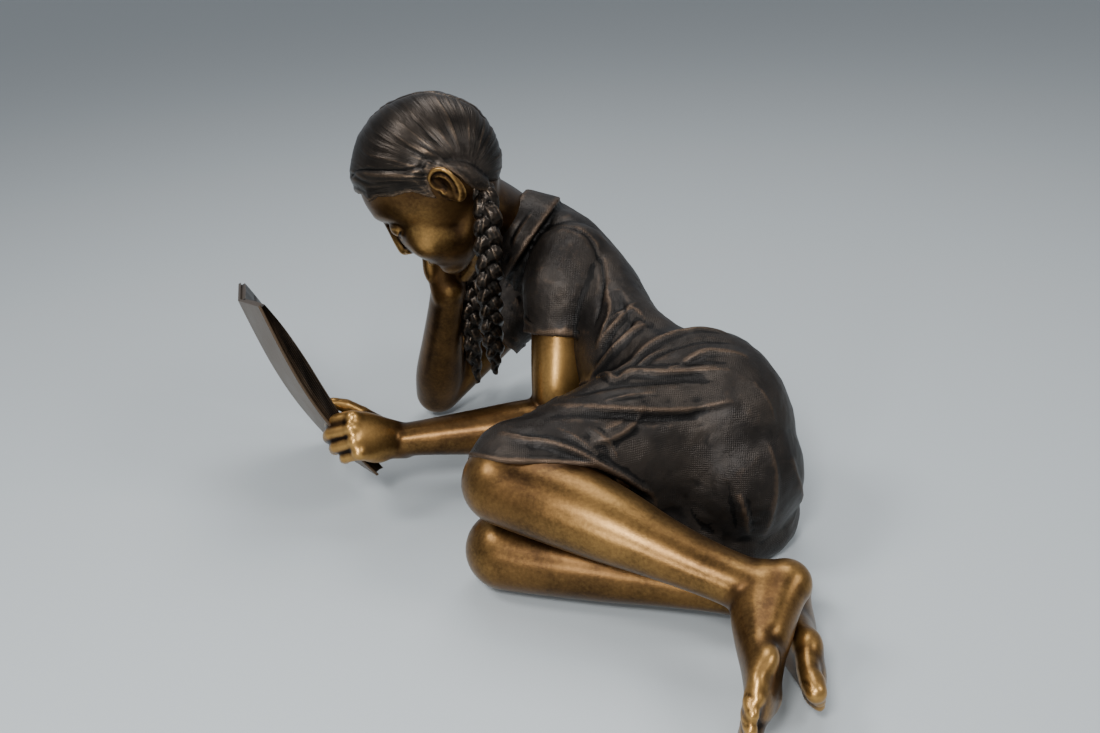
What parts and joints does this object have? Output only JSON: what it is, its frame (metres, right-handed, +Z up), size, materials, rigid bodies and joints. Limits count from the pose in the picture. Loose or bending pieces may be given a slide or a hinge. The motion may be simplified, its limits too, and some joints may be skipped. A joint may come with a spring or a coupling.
{
  "type": "figure statue",
  "caption": "Bronze statue of a girl with two plaits, lying on her side, head propped on one hand, reading an open book held in the other.",
  "frame": {"origin": "middle of the bounding box, on the floor that the figure lies on", "axes": "+Z up from the floor; +X along the figure from the book to the hips; -Y towards the feet"},
  "size_m": [0.7246, 0.8664, 0.5148],
  "materials": {
    "girl": "patinated bronze, polished golden brown on the skin and near black on dress and hair",
    "book": "dark patinated bronze with rubbed edges"
  },
  "bodies": {
    "root": {"girl": "girl", "book": "book"}
  },
  "joints": []
}
